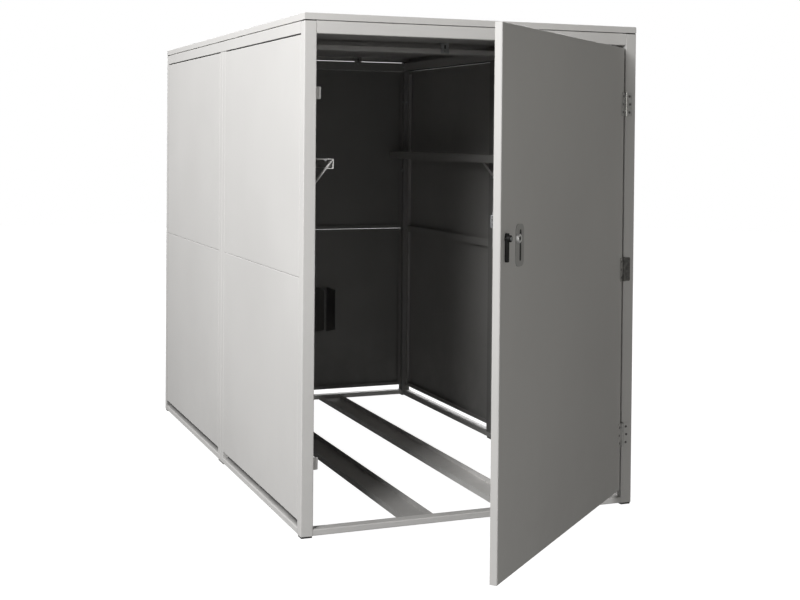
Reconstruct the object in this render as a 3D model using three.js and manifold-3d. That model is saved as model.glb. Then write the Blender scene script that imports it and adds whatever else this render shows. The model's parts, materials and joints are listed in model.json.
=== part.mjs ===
// Bicycle locker: a tube frame of two bays, sheet walls, a tray roof, a wide hinged door and a lever lock.
// Millimetres, +Z up. The door side faces -Y and the door stands ajar.
import * as THREE from 'three';
import { mergeVertices } from 'three/addons/utils/BufferGeometryUtils.js';
import Module from 'manifold-3d';

const wasm = await Module();
wasm.setup();

// Driving dimensions of the cabinet
const cabinetWidth = 1182;
const cabinetDepth = 2066;
const frameHeight = 1600;
const tubeSize = 40;
const tubeWall = 2;
const tubeCorner = 3;
const sillHeight = 20;
const beamHeight = 20;
const footHeight = 6;
const footInset = 2;

// Sheet walls
const sheet = 1.5;
const panelFlange = 20;
const panelBend = 2.5;
const panelLip = 15;
const ventGap = 23;
const seamRise = 2;
const rearSeamGap = 2.1;
const panelTopGap = 1;
const railRise = 1.5;

// Tray roof and the brackets that carry it
const lidGap = 4;
const lidRim = 21;
const lidLip = 12;
const bracketWidth = 34;
const bracketThickness = 3;
const bracketReach = 23;
const bracketDrop = 18;
const bracketOffset = 312;
const weldDepth = 0.5;

// Tyre channels and wheel holders
const channelSpacing = 364;
const channelWidth = 104;
const channelWall = 2;
const holderSpacing = 302;
const holderGap = 50;
const holderDepth = 134;
const holderWall = 4;
const holderCorner = 14;
const holderFoot = 18;
const holderBottom = 315;
const holderTaper = 26;
const holderTop = 527;

// Shelf rails along the side walls
const railDrop = 427;
const railWidth = 68;
const railLip = 31;
const railReturn = 22;
const railWallFlange = 25;
const railSheet = 2;
const railEndOverlap = 10;
const braceWidth = 20;
const braceThickness = 4;
const braceDrop = 85;
const braceFoot = 24;

// Door
const doorClearance = 3;
const doorThickness = 22;
const doorBottom = 46;
const doorTopGap = 8;
const doorLip = 30;
const doorAjar = THREE.MathUtils.degToRad(41.83);

// Hinges
const topHingeDrop = 239;
const bottomHingeHeight = 235;
const hingeLength = 80;
const leafWidth = 26;
const leafThickness = 2.5;
const leafCorner = 4;
const leafSplit = 0.3;
const hingeAxisOffset = 6.5;
const knuckleRadius = 5;
const knuckleEnd = 14;
const knuckleGap = 0.5;
const pinRadius = 3;
const pinHeadRadius = 4.6;
const pinHeadHeight = 1.6;
const pinClearance = 0.25;

// Door stops on the lock side post
const lowerStopHeight = 220;
const upperStopDrop = 221.5;
const stopLength = 39;
const stopReach = 16;
const stopThickness = 3;
const stopSetback = 0.5;

// Turn lever on the outside; insets are measured from the free edge of the door
const spindleInset = 34;
const spindleHeight = 973.5;
const spindleRadius = 5;
const leverWidth = 13;
const leverTipWidth = 12;
const leverTop = 14;
const leverDrop = 64;
const leverThickness = 8;
const leverStandoff = 1.5;
const leverCorner = 3;
const leverBevel = 1;
const neckRadius = 8;
const hubRadius = 9.5;
const hubLength = 17;
const hubBore = 12;
const hubSocketRadius = 6;
const hubSocketDepth = 1.5;

// Flat bolt that slides along the lock side, with the crank that drives it
const boltHeight = 28;
const boltThickness = 3.5;
const boltRise = 32.5;
const boltInset = 2;
const boltTail = 3.6;
const boltChamfer = 3;
const crankRadius = 16;
const crankSwing = THREE.MathUtils.degToRad(45);
const crankPinRadius = 2.5;
const crankHubRadius = 9;
const crankEndRadius = 5;
const crankThickness = 3;
const crankSpacing = 0.8;
const crankPinStop = 0.8;
const forkClearance = 0.9;
const forkProng = 5;
const forkBottomGap = 3.5;
const forkTopGap = 2;

// Guide: a base plate with a turned edge and two straps over the bolt
const guideThickness = 1.5;
const guideInset = 2;
const guideMargin = 5.5;
const guideDrop = 26.5;
const guideTopMargin = 12;
const guideCorner = 6;
const frontStrapInset = 2;
const rearStrapSetback = 32;
const strapWidth = 9;
const strapWall = 2;
const strapFoot = 2.5;
const slotClearance = 1.5;
const shaftClearance = 0.5;

// Key cylinder and the arm that blocks the bolt
const cylinderInset = 120;
const cylinderDrop = 5;
const cylinderHeadRadius = 13.5;
const cylinderBarrelRadius = 10;
const cylinderHeadLength = 6.4;
const cylinderChamfer = 1.5;
const plugRadius = 6.2;
const plugRecess = 0.4;
const keywayWidth = 1.6;
const keywayHeight = 8;
const keywayDepth = 3;
const armWidth = 8;
const armEngagement = 2;
const armClearance = 1;

// Oblong plate round the cylinder with its upright slot
const lockPlateMargin = 13;
const lockPlateWidth = 59;
const lockPlateHeight = 117;
const lockPlateDrop = 20;
const lockPlateThickness = 2.3;
const lockPlateCorner = 18;
const lockSlotOffset = 19.5;
const lockSlotWidth = 13;
const lockSlotLength = 88;

// Gaps and facets
const seat = 0.3;
const overrun = 5;
const roundSegments = 24;
const bendSegments = 2;
const cornerSegments = 4;

// Places worked out from the sizes above
const halfWidth = cabinetWidth / 2;
const halfDepth = cabinetDepth / 2;
const innerX = halfWidth - tubeSize;
const innerY = halfDepth - tubeSize;
const railUnderside = frameHeight - tubeSize;
const wallBottom = sillHeight + ventGap;
const seamHeight = frameHeight / 2 + seamRise;
const railTop = frameHeight - railDrop;
const lidBottom = frameHeight + lidGap;
const lidTop = lidBottom + lidRim;
const lidUnderside = lidTop - sheet;
const doorWidth = 2 * innerX - 2 * doorClearance;
const doorTop = railUnderside - doorTopGap;
const doorHeight = doorTop - doorBottom;
const hingeHeights = {
  top: frameHeight - topHingeDrop, middle: frameHeight / 2, bottom: bottomHingeHeight,
};
const stopHeights = { lower: lowerStopHeight, upper: frameHeight - upperStopDrop };
const hingeX = innerX - doorClearance / 2;
const hingeY = -halfDepth - hingeAxisOffset;
const doorReach = doorWidth + doorClearance / 2;
const outerFace = hingeAxisOffset;
const innerFace = hingeAxisOffset + doorThickness;
const boltTravel = 2 * crankRadius * Math.sin(crankSwing);

// Places in the lock
const guideFace = innerFace + seat + guideThickness;
const boltNear = guideFace + seat;
const boltFar = boltNear + boltThickness;
const boltBottom = spindleHeight + boltRise;
const boltTop = boltBottom + boltHeight;
const cylinderHeight = spindleHeight - cylinderDrop;
const armLength = boltBottom - cylinderHeight + armEngagement;
const armReach = Math.hypot(armLength, armWidth / 2);
const armSweep = Math.sqrt(armReach ** 2 - (armLength - armEngagement) ** 2);
const guideLength = cylinderInset + armLength + guideMargin - guideInset;
const guideBottom = cylinderHeight - guideDrop;
const guideTop = boltTop + guideTopMargin;
const lockPlateMiddle = cylinderHeight - lockPlateDrop;

const colours = {
  paint: 0xd4d3cf,
  zinc: 0xb9bbbd,
  steel: 0xa9abad,
  dark: 0x3a3936,
  black: 0x161616,
  chrome: 0xe6e6e8,
  rubber: 0x1c1c1c,
};

// Roughness and metalness of each finish
const finishShares = {
  paint: [0.45, 0],
  zinc: [0.4, 1],
  steel: [0.35, 1],
  dark: [0.5, 0],
  black: [0.4, 0],
  chrome: [0.12, 1],
  rubber: [0.8, 0],
};

function material(finish) {
  const [roughness, metalness] = finishShares[finish];
  return new THREE.MeshStandardMaterial({ color: colours[finish], roughness, metalness });
}

// Solids for joins and cuts
function toSolid(geometry) {
  const bare = geometry.clone();
  bare.deleteAttribute('normal');
  bare.deleteAttribute('uv');
  const merged = mergeVertices(bare);
  return new wasm.Manifold(new wasm.Mesh({
    numProp: 3,
    vertProperties: new Float32Array(merged.attributes.position.array),
    triVerts: new Uint32Array(merged.index.array),
  }));
}

function toGeometry(solid) {
  const mesh = solid.getMesh();
  const geometry = new THREE.BufferGeometry();
  geometry.setAttribute('position', new THREE.BufferAttribute(new Float32Array(mesh.vertProperties), 3));
  geometry.setIndex(new THREE.BufferAttribute(new Uint32Array(mesh.triVerts), 1));
  geometry.computeVertexNormals();
  return geometry;
}

function joined(...geometries) {
  return geometries.map(toSolid).reduce((sum, solid) => sum.add(solid));
}

function carved(body, ...cutters) {
  let solid = body instanceof THREE.BufferGeometry ? toSolid(body) : body;
  for (const cutter of cutters) {
    solid = solid.subtract(toSolid(cutter));
  }
  return solid;
}

// Plain forms between two corners or two planes
function boxBetween([x0, y0, z0], [x1, y1, z1]) {
  const geometry = new THREE.BoxGeometry(x1 - x0, y1 - y0, z1 - z0);
  return geometry.translate((x0 + x1) / 2, (y0 + y1) / 2, (z0 + z1) / 2);
}

function rodAlongY(radius, yNear, yFar, x, z) {
  const geometry = new THREE.CylinderGeometry(radius, radius, yFar - yNear, roundSegments);
  return geometry.translate(x, (yNear + yFar) / 2, z);
}

function rodAlongZ(radius, z0, z1) {
  const geometry = new THREE.CylinderGeometry(radius, radius, z1 - z0, roundSegments);
  return geometry.rotateX(Math.PI / 2).translate(0, 0, (z0 + z1) / 2);
}

function roundedOutline(width, height, radius) {
  const shape = new THREE.Shape();
  const x = width / 2;
  const y = height / 2;
  shape.moveTo(radius - x, -y);
  shape.lineTo(x - radius, -y);
  shape.absarc(x - radius, radius - y, radius, -Math.PI / 2, 0);
  shape.lineTo(x, y - radius);
  shape.absarc(x - radius, y - radius, radius, 0, Math.PI / 2);
  shape.lineTo(radius - x, y);
  shape.absarc(radius - x, y - radius, radius, Math.PI / 2, Math.PI);
  shape.lineTo(-x, radius - y);
  shape.absarc(radius - x, radius - y, radius, Math.PI, 1.5 * Math.PI);
  return shape;
}

function outlineOf(points) {
  return new THREE.Shape(points.map(([x, y]) => new THREE.Vector2(x, y)));
}

// An outline drawn in X and Z, thickened from one Y plane to another, with an optional rounded rim
function plateXZ(outline, yNear, yFar, bevel = 0) {
  const geometry = new THREE.ExtrudeGeometry(outline, {
    depth: yFar - yNear - 2 * bevel,
    bevelEnabled: bevel > 0,
    bevelThickness: bevel,
    bevelSize: bevel,
    bevelOffset: -bevel,
    bevelSegments: bendSegments,
    curveSegments: cornerSegments,
  });
  return geometry.rotateX(Math.PI / 2).translate(0, yFar - bevel, 0);
}

// Square and flat tube, open at both ends, run along X, Y or Z from its low end
function tubeGeometry(width, height, length, axis) {
  const outline = roundedOutline(width, height, tubeCorner);
  outline.holes.push(roundedOutline(width - 2 * tubeWall, height - 2 * tubeWall, tubeCorner - tubeWall));
  const geometry = new THREE.ExtrudeGeometry(outline, {
    depth: length, bevelEnabled: false, curveSegments: bendSegments,
  });
  if (axis === 'x') {
    geometry.rotateZ(Math.PI / 2).rotateY(Math.PI / 2);
  }
  if (axis === 'y') {
    geometry.rotateX(-Math.PI / 2);
  }
  return geometry;
}

// A folded sheet pan: its outer face lies on z = 0 and faces +Z, its flanges turn back to -depth
// and end in a lip that is turned in
function panSolid(width, height, depth, lip) {
  const block = new THREE.ExtrudeGeometry(outlineOf([
    [-width / 2, -height / 2], [width / 2, -height / 2], [width / 2, height / 2], [-width / 2, height / 2],
  ]), {
    depth,
    bevelEnabled: true,
    bevelThickness: panelBend,
    bevelSize: panelBend,
    bevelOffset: -panelBend,
    bevelSegments: bendSegments,
  });
  block.translate(0, 0, -depth - panelBend);
  const spare = panelBend + overrun;
  const trim = boxBetween(
    [-width / 2 - overrun, -height / 2 - overrun, -depth - 2 * spare],
    [width / 2 + overrun, height / 2 + overrun, -depth],
  );
  const cavity = boxBetween(
    [sheet - width / 2, sheet - height / 2, sheet - depth],
    [width / 2 - sheet, height / 2 - sheet, -sheet],
  );
  const mouth = boxBetween(
    [lip - width / 2, lip - height / 2, -depth - overrun],
    [width / 2 - lip, height / 2 - lip, -2 * sheet],
  );
  return carved(block, trim, cavity, mouth);
}

const locker = new THREE.Group();
const door = new THREE.Group();
door.position.set(hingeX, hingeY, 0);
door.rotation.z = doorAjar;
locker.add(door);

function addPiece(parent, name, shape, finish) {
  const geometry = shape instanceof THREE.BufferGeometry ? shape : toGeometry(shape);
  const mesh = new THREE.Mesh(geometry, material(finish));
  mesh.name = name;
  parent.add(mesh);
  return mesh;
}

// Turns a pan so that its outer face looks along the given direction
function facing(mesh, outward) {
  const up = outward.z === 0 ? new THREE.Vector3(0, 0, 1) : new THREE.Vector3(0, 1, 0);
  const across = new THREE.Vector3().crossVectors(up, outward);
  mesh.quaternion.setFromRotationMatrix(new THREE.Matrix4().makeBasis(across, up, outward));
  return mesh;
}

// Frame posts
const corners = {
  front_left: [-1, -1], front_right: [1, -1], rear_left: [-1, 1], rear_right: [1, 1],
};

function strikeSlot() {
  return boxBetween(
    [-innerX - tubeWall - overrun, hingeY + boltNear - slotClearance, boltBottom - slotClearance],
    [-innerX + overrun, hingeY + boltFar + slotClearance, boltTop + slotClearance],
  );
}

function stopTab(height) {
  const face = -halfDepth + doorThickness + stopSetback;
  return boxBetween(
    [-innerX - tubeWall / 2, face, height - stopLength / 2],
    [-innerX + stopReach, face + stopThickness, height + stopLength / 2],
  );
}

for (const [corner, [sideX, sideY]] of Object.entries(corners)) {
  let shape = tubeGeometry(tubeSize, tubeSize, frameHeight, 'z');
  shape.translate(sideX * (halfWidth - tubeSize / 2), sideY * (halfDepth - tubeSize / 2), 0);
  if (corner === 'front_left') {
    const tabs = Object.values(stopHeights).map(stopTab);
    shape = carved(joined(shape, ...tabs), strikeSlot());
  }
  addPiece(locker, `${corner}_post`, shape, 'paint');
}

// Pairs of posts where the two bays meet
const ends = { front: -1, rear: 1 };
const sides = { left: -1, right: 1 };
for (const [side, sideX] of Object.entries(sides)) {
  for (const [end, endY] of Object.entries(ends)) {
    const shape = tubeGeometry(tubeSize, tubeSize, railUnderside + railRise - sillHeight, 'z');
    shape.translate(sideX * (halfWidth - tubeSize / 2), endY * tubeSize / 2, sillHeight);
    addPiece(locker, `${side}_${end}_mid_post`, shape, 'paint');
  }
}

// Brackets that hold the roof: an upright leg on a rail and a flange under the roof
function bracketSolid(x, face, away, sunk) {
  const leg = [face - away * sunk, face + away * bracketThickness].sort((a, b) => a - b);
  const flange = [face + away * bracketThickness, face - away * (bracketReach - bracketThickness)];
  flange.sort((a, b) => a - b);
  return joined(
    boxBetween(
      [x - bracketWidth / 2, leg[0], frameHeight - bracketDrop],
      [x + bracketWidth / 2, leg[1], lidUnderside],
    ),
    boxBetween(
      [x - bracketWidth / 2, flange[0], lidUnderside - bracketThickness],
      [x + bracketWidth / 2, flange[1], lidUnderside],
    ),
  );
}

// Top rails, mid beams and sills; all top rails but the rear one stand a little above the ends of the posts.
// The end rails carry welded roof brackets.
for (const [end, endY] of Object.entries(ends)) {
  const rise = end === 'front' ? railRise : 0;
  const rail = tubeGeometry(tubeSize, tubeSize, 2 * innerX, 'x');
  rail.translate(-innerX, endY * (halfDepth - tubeSize / 2), frameHeight + rise - tubeSize / 2);
  let solid = toSolid(rail);
  for (const sideX of Object.values(sides)) {
    solid = solid.add(bracketSolid(sideX * bracketOffset, endY * innerY, -endY, weldDepth));
  }
  addPiece(locker, `${end}_top_rail`, solid, 'paint');
  const beam = tubeGeometry(tubeSize, beamHeight, 2 * innerX, 'x');
  beam.translate(-innerX, endY * tubeSize / 2, frameHeight - beamHeight / 2);
  addPiece(locker, `${end}_mid_beam`, beam, 'paint');
  const sill = tubeGeometry(tubeSize, sillHeight, 2 * innerX, 'x');
  sill.translate(-innerX, endY * (halfDepth - tubeSize / 2), sillHeight / 2);
  addPiece(locker, `${end}_sill`, sill, 'paint');
}
for (const [side, sideX] of Object.entries(sides)) {
  const rail = tubeGeometry(tubeSize, tubeSize, 2 * innerY, 'y');
  rail.translate(sideX * (halfWidth - tubeSize / 2), -innerY, frameHeight + railRise - tubeSize / 2);
  addPiece(locker, `${side}_top_rail`, rail, 'paint');
  const sill = tubeGeometry(tubeSize, sillHeight, 2 * innerY, 'y');
  sill.translate(sideX * (halfWidth - tubeSize / 2), -innerY, sillHeight / 2);
  addPiece(locker, `${side}_sill`, sill, 'paint');
  addPiece(locker, `${side}_roof_clip`, bracketSolid(sideX * bracketOffset, -tubeSize, -1, 0), 'zinc');
}

// Feet under the corner posts and under the middle of each side
function addFoot(name, x, y, length) {
  const outline = roundedOutline(tubeSize - 2 * footInset, length - 2 * footInset, tubeCorner);
  const pad = new THREE.ExtrudeGeometry(outline, {
    depth: footHeight, bevelEnabled: false, curveSegments: bendSegments,
  });
  addPiece(locker, name, pad.translate(x, y, -footHeight), 'rubber');
}
for (const [corner, [sideX, sideY]] of Object.entries(corners)) {
  addFoot(`${corner}_foot`, sideX * (halfWidth - tubeSize / 2), sideY * (halfDepth - tubeSize / 2), tubeSize);
}
for (const [side, sideX] of Object.entries(sides)) {
  addFoot(`${side}_mid_foot`, sideX * (halfWidth - tubeSize / 2), 0, 2 * tubeSize);
}

// Wall pans: a lower and an upper one in every bay
function addWallPans(label, bay, centre, outward, seamGap) {
  const tiers = {
    lower: [wallBottom, seamHeight],
    upper: [seamHeight + seamGap, railUnderside - panelTopGap],
  };
  for (const [tier, [bottom, top]] of Object.entries(tiers)) {
    const shape = panSolid(bay, top - bottom, panelFlange, panelLip);
    const pan = addPiece(locker, `${label}_${tier}_panel`, shape, 'paint');
    facing(pan, outward).position.set(centre.x, centre.y, (bottom + top) / 2);
  }
}
for (const [side, sideX] of Object.entries(sides)) {
  const outward = new THREE.Vector3(sideX, 0, 0);
  for (const [end, endY] of Object.entries(ends)) {
    const centre = { x: sideX * halfWidth, y: endY * (tubeSize + innerY) / 2 };
    addWallPans(`${side}_${end}`, innerY - tubeSize, centre, outward, 0);
  }
}
addWallPans('rear', 2 * innerX, { x: 0, y: halfDepth }, new THREE.Vector3(0, 1, 0), rearSeamGap);

// Tray roof on the brackets
const lid = addPiece(locker, 'roof_lid', panSolid(cabinetWidth, cabinetDepth, lidRim, lidLip), 'paint');
facing(lid, new THREE.Vector3(0, 0, 1)).position.z = lidTop;

// Tyre channels between the front and rear sills, and wheel holders on the rear wall
function channelGeometry(centre) {
  const half = channelWidth / 2;
  const profile = outlineOf([
    [-half, 0], [half, 0], [half, sillHeight], [half - channelWall, sillHeight],
    [half - channelWall, channelWall], [channelWall - half, channelWall],
    [channelWall - half, sillHeight], [-half, sillHeight],
  ]);
  return plateXZ(profile, -innerY, innerY).translate(centre, 0, 0);
}

function holderSolid(centre) {
  const gap = holderGap / 2;
  const outer = gap + holderWall;
  const wall = halfDepth - sheet;
  const base = boxBetween(
    [centre - outer - holderFoot, wall - holderWall, holderBottom],
    [centre + outer + holderFoot, wall, holderTop],
  );
  const fin = new THREE.Shape();
  fin.moveTo(0, holderBottom);
  fin.lineTo(holderDepth - holderCorner, holderBottom + holderTaper);
  fin.quadraticCurveTo(
    holderDepth, holderBottom + holderTaper, holderDepth, holderBottom + holderTaper + holderCorner,
  );
  fin.lineTo(holderDepth, holderTop - holderCorner);
  fin.quadraticCurveTo(holderDepth, holderTop, holderDepth - holderCorner, holderTop);
  fin.lineTo(0, holderTop);
  const fins = [centre - outer, centre + gap].map((x) => {
    const plate = new THREE.ExtrudeGeometry(fin, {
      depth: holderWall, bevelEnabled: false, curveSegments: cornerSegments,
    });
    return plate.rotateX(Math.PI / 2).rotateZ(-Math.PI / 2).translate(x + holderWall, wall, 0);
  });
  return joined(base, ...fins);
}

for (const [side, sideX] of Object.entries(sides)) {
  addPiece(locker, `${side}_tyre_channel`, channelGeometry(sideX * channelSpacing / 2), 'paint');
  addPiece(locker, `${side}_wheel_holder`, holderSolid(sideX * holderSpacing / 2), 'dark');
}

// Shelf rails with their diagonal braces
function railSolid(sideX) {
  const wall = sideX * innerX;
  const inward = -sideX;
  const at = (across, below) => [wall + inward * across, railTop - below];
  const profile = outlineOf([
    at(0, 0), at(railWidth, 0), at(railWidth, railLip), at(railWidth - railReturn, railLip),
    at(railWidth - railReturn, railLip - railSheet), at(railWidth - railSheet, railLip - railSheet),
    at(railWidth - railSheet, railSheet), at(railSheet, railSheet),
    at(railSheet, railWallFlange), at(0, railWallFlange),
  ]);
  const end = innerY + railEndOverlap;
  const pieces = [plateXZ(profile, -end, end)];
  const rise = braceDrop - railSheet;
  const run = railWidth - railSheet;
  const slope = Math.hypot(rise, run);
  const thick = { across: braceThickness * rise / slope, below: braceThickness * run / slope };
  const strip = outlineOf([
    at(0, braceDrop), at(run, railSheet), at(run, railSheet + thick.below), at(thick.across, braceDrop),
  ]);
  const foot = outlineOf([
    at(0, braceDrop - braceFoot / 2), at(braceThickness, braceDrop - braceFoot / 2),
    at(braceThickness, braceDrop + braceFoot / 2), at(0, braceDrop + braceFoot / 2),
  ]);
  for (const near of [-end, -braceWidth / 2]) {
    pieces.push(plateXZ(strip, near, near + braceWidth), plateXZ(foot, near, near + braceWidth));
  }
  return joined(...pieces);
}
for (const [side, sideX] of Object.entries(sides)) {
  addPiece(locker, `${side}_shelf_rail`, railSolid(sideX), 'paint');
}

// Hinges: a leaf on the post, a leaf on the door and a pin
const knuckles = {
  ends: [[-hingeLength / 2, knuckleEnd - hingeLength / 2], [hingeLength / 2 - knuckleEnd, hingeLength / 2]],
  middle: [[knuckleEnd + knuckleGap - hingeLength / 2, hingeLength / 2 - knuckleEnd - knuckleGap]],
};
function leafSolid(sideX, own, other, back) {
  const outline = roundedOutline(leafWidth + leafCorner, hingeLength, leafCorner);
  const plate = plateXZ(outline, outerFace - leafThickness, back);
  plate.translate(sideX * (leafWidth - leafCorner) / 2, 0, 0);
  const edge = [sideX * leafSplit, -sideX * (leafWidth + overrun)].sort((a, b) => a - b);
  const split = boxBetween([edge[0], 0, -hingeLength], [edge[1], 2 * outerFace, hingeLength]);
  let leaf = carved(plate, split);
  for (const [low, high] of own) {
    const web = [sideX * leafSplit, sideX * knuckleRadius].sort((a, b) => a - b);
    leaf = leaf.add(toSolid(boxBetween([web[0], knuckleRadius / 2, low], [web[1], back, high])));
    leaf = leaf.add(toSolid(rodAlongZ(knuckleRadius, low, high)));
  }
  const clear = other.map(([low, high]) => {
    return rodAlongZ(knuckleRadius + knuckleGap, low - knuckleGap, high + knuckleGap);
  });
  const bore = rodAlongZ(pinRadius + pinClearance, -hingeLength, hingeLength);
  return carved(leaf, ...clear, bore);
}

function pinGeometry() {
  const half = hingeLength / 2;
  const profile = [
    [0, -half], [pinRadius, -half], [pinRadius, half + seat], [pinHeadRadius, half + seat],
    [pinHeadRadius, half + seat + pinHeadHeight / 2], [pinHeadRadius / 2, half + seat + pinHeadHeight],
    [0, half + seat + pinHeadHeight],
  ].map(([r, z]) => new THREE.Vector2(r, z));
  return new THREE.LatheGeometry(profile, roundSegments).rotateX(Math.PI / 2);
}

for (const [place, height] of Object.entries(hingeHeights)) {
  const finish = place === 'middle' ? 'dark' : 'zinc';
  const frameLeaf = leafSolid(1, knuckles.ends, knuckles.middle, outerFace);
  addPiece(locker, `${place}_hinge_frame_leaf`, frameLeaf, finish).position.set(hingeX, hingeY, height);
  const doorLeaf = leafSolid(-1, knuckles.middle, knuckles.ends, outerFace - seat);
  addPiece(door, `${place}_hinge_door_leaf`, doorLeaf, finish).position.z = height;
  addPiece(locker, `${place}_hinge_pin`, pinGeometry(), 'steel').position.set(hingeX, hingeY, height);
}

// Door pan; an inset is the distance from its free edge
const fromEdge = (inset) => inset - doorReach;

function holeAt(radius, inset, height) {
  return rodAlongY(radius, outerFace - hubLength, boltFar + overrun, fromEdge(inset), height);
}

function doorSolid() {
  const turned = new THREE.Matrix4().makeBasis(
    new THREE.Vector3(1, 0, 0), new THREE.Vector3(0, 0, 1), new THREE.Vector3(0, -1, 0),
  );
  const pan = toGeometry(panSolid(doorWidth, doorHeight, doorThickness, doorLip)).applyMatrix4(turned);
  pan.translate(fromEdge(doorWidth / 2), outerFace, (doorBottom + doorTop) / 2);
  return carved(
    pan,
    holeAt(spindleRadius + shaftClearance, spindleInset, spindleHeight),
    holeAt(cylinderBarrelRadius + shaftClearance, cylinderInset, cylinderHeight),
  );
}
addPiece(door, 'door_panel', doorSolid(), 'paint');

// Guide on the inner side of the door
function strapSolid(inset) {
  const low = boltBottom - seat;
  const high = boltTop + seat;
  const block = boxBetween(
    [fromEdge(inset), innerFace + seat, low - strapFoot],
    [fromEdge(inset + strapWidth), boltFar + seat + strapWall, high + strapFoot],
  );
  const way = boxBetween(
    [fromEdge(inset) - overrun, guideFace, low],
    [fromEdge(inset + strapWidth) + overrun, boltFar + seat, high],
  );
  return carved(block, way);
}

function guideSolid() {
  const outline = roundedOutline(guideLength, guideTop - guideBottom, guideCorner);
  const plate = plateXZ(outline, innerFace + seat, guideFace);
  plate.translate(fromEdge(guideInset + guideLength / 2), 0, (guideTop + guideBottom) / 2);
  const back = fromEdge(guideInset + guideLength);
  const edge = boxBetween(
    [back - guideThickness, outerFace + sheet + seat, guideBottom + guideCorner],
    [back, innerFace + seat + guideThickness / 2, guideTop - guideCorner],
  );
  const straps = [frontStrapInset, cylinderInset - rearStrapSetback].map(strapSolid);
  return carved(
    straps.reduce((sum, strap) => sum.add(strap), joined(plate, edge)),
    holeAt(spindleRadius + shaftClearance, spindleInset, spindleHeight),
    holeAt(cylinderBarrelRadius + shaftClearance, cylinderInset, cylinderHeight),
  );
}
addPiece(door, 'bolt_guide', guideSolid(), 'zinc');

// Turn lever and its hub
function leverSolid() {
  const x = fromEdge(spindleInset);
  const back = outerFace - leverStandoff;
  const top = leverTop - leverCorner;
  const tip = leverCorner - leverDrop;
  const bar = new THREE.Shape();
  bar.moveTo(leverCorner - leverTipWidth / 2, -leverDrop);
  bar.lineTo(leverTipWidth / 2 - leverCorner, -leverDrop);
  bar.quadraticCurveTo(leverTipWidth / 2, -leverDrop, leverTipWidth / 2, tip);
  bar.lineTo(leverWidth / 2, top);
  bar.quadraticCurveTo(leverWidth / 2, leverTop, leverWidth / 2 - leverCorner, leverTop);
  bar.lineTo(leverCorner - leverWidth / 2, leverTop);
  bar.quadraticCurveTo(-leverWidth / 2, leverTop, -leverWidth / 2, top);
  bar.lineTo(-leverTipWidth / 2, tip);
  bar.quadraticCurveTo(-leverTipWidth / 2, -leverDrop, leverCorner - leverTipWidth / 2, -leverDrop);
  const blade = plateXZ(bar, back - leverThickness, back, leverBevel).translate(x, 0, spindleHeight);
  const knob = leverStandoff + leverThickness - 2 * leverBevel;
  const profile = [
    [0, hubBore], [spindleRadius + seat, hubBore], [spindleRadius + seat, seat], [neckRadius, seat],
    [neckRadius, knob], [hubRadius, knob],
    [hubRadius, hubLength - leverBevel], [hubRadius - leverBevel, hubLength],
    [hubSocketRadius, hubLength], [hubSocketRadius, hubLength - hubSocketDepth],
    [0, hubLength - hubSocketDepth],
  ].map(([r, y]) => new THREE.Vector2(r, y));
  const hub = new THREE.LatheGeometry(profile, roundSegments).rotateX(Math.PI);
  hub.translate(x, outerFace, spindleHeight);
  const bore = rodAlongY(spindleRadius + seat, outerFace - hubBore, outerFace, x, spindleHeight);
  return carved(joined(blade, hub), bore);
}
addPiece(door, 'turn_lever', leverSolid(), 'black');

// Spindle with the crank on its inner end; the crank pin stands in the fork of the bolt
function crankSolid() {
  const x = fromEdge(spindleInset);
  const near = boltFar + crankSpacing;
  const far = near + crankThickness;
  const pin = {
    x: x + crankRadius * Math.sin(crankSwing),
    z: spindleHeight + crankRadius * Math.cos(crankSwing),
  };
  const spindle = rodAlongY(spindleRadius, outerFace - hubBore + seat, far, x, spindleHeight);
  const hub = rodAlongY(crankHubRadius, near, far, x, spindleHeight);
  const end = rodAlongY(crankEndRadius, near, far, pin.x, pin.z);
  const peg = rodAlongY(crankPinRadius, guideFace + crankPinStop, far, pin.x, pin.z);
  const arm = boxBetween([-crankEndRadius, near, 0], [crankEndRadius, far, crankRadius]);
  arm.rotateY(crankSwing).translate(x, 0, spindleHeight);
  return joined(spindle, hub, end, peg, arm);
}
addPiece(door, 'spindle_crank', crankSolid(), 'steel');

// Flat bolt with the fork for the crank pin and the notch for the blocking arm
function boltSolid() {
  const nose = fromEdge(boltInset);
  const pinX = fromEdge(spindleInset) + crankRadius * Math.sin(crankSwing);
  const fork = {
    half: crankPinRadius + forkClearance,
    bottom: spindleHeight + spindleRadius + forkBottomGap,
    top: spindleHeight + crankRadius + crankPinRadius + forkTopGap,
  };
  const arm = fromEdge(cylinderInset);
  const notch = {
    left: arm - armWidth / 2 - armClearance,
    right: arm + armSweep + armClearance,
    top: boltBottom + armEngagement + armClearance,
  };
  const tail = notch.right + boltTail;
  const prong = fork.half + forkProng;
  const outline = outlineOf([
    [nose, boltBottom + boltChamfer], [nose + boltChamfer, boltBottom],
    [pinX - prong, boltBottom], [pinX - prong, fork.bottom],
    [pinX - fork.half, fork.bottom], [pinX - fork.half, fork.top],
    [pinX + fork.half, fork.top], [pinX + fork.half, fork.bottom],
    [pinX + prong, fork.bottom], [pinX + prong, boltBottom],
    [notch.left, boltBottom], [notch.left, notch.top], [notch.right, notch.top], [notch.right, boltBottom],
    [tail, boltBottom], [tail, boltTop],
    [nose + boltChamfer, boltTop], [nose, boltTop - boltChamfer],
  ]);
  return plateXZ(outline, boltNear, boltFar);
}
addPiece(door, 'lock_bolt', boltSolid(), 'steel');

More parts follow.
